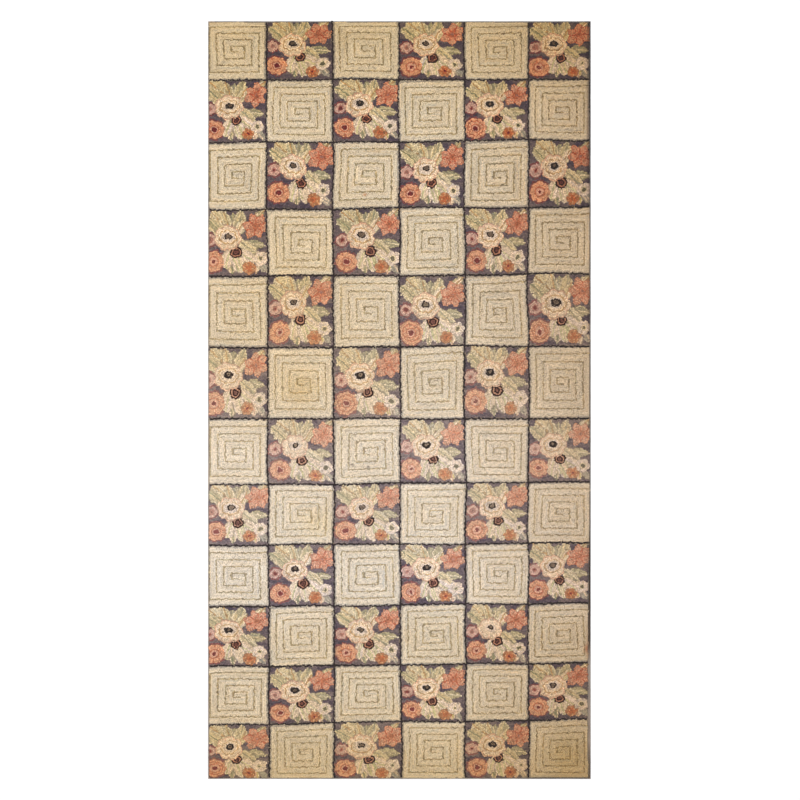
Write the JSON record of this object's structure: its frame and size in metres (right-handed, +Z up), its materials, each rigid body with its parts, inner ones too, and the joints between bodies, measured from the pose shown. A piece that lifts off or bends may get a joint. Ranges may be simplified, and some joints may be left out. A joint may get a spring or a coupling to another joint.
{
  "type": "hooked rug",
  "caption": "Long flat hooked rug in a checkerboard of flower blocks and square spiral blocks, with looped wool pile and tape under its edges.",
  "frame": {"origin": "on the floor under the middle of the rug", "axes": "+X across the rug's width to its right, +Y along its length, +Z up out of the pile"},
  "size_m": [1.83, 3.624, 0.008],
  "materials": {
    "hooked_wool": "looped wool pile hooked in rows: cream, taupe, slate purple, coral, rust, sage and maroon, softly faded and matt",
    "cotton_tape": "plain woven cotton tape, greyish tan, worn and matt"
  },
  "bodies": {
    "root": {"hooked_field": "hooked_wool", "binding_right": "cotton_tape", "binding_top": "cotton_tape", "binding_left": "cotton_tape", "binding_bottom": "cotton_tape"}
  },
  "joints": []
}
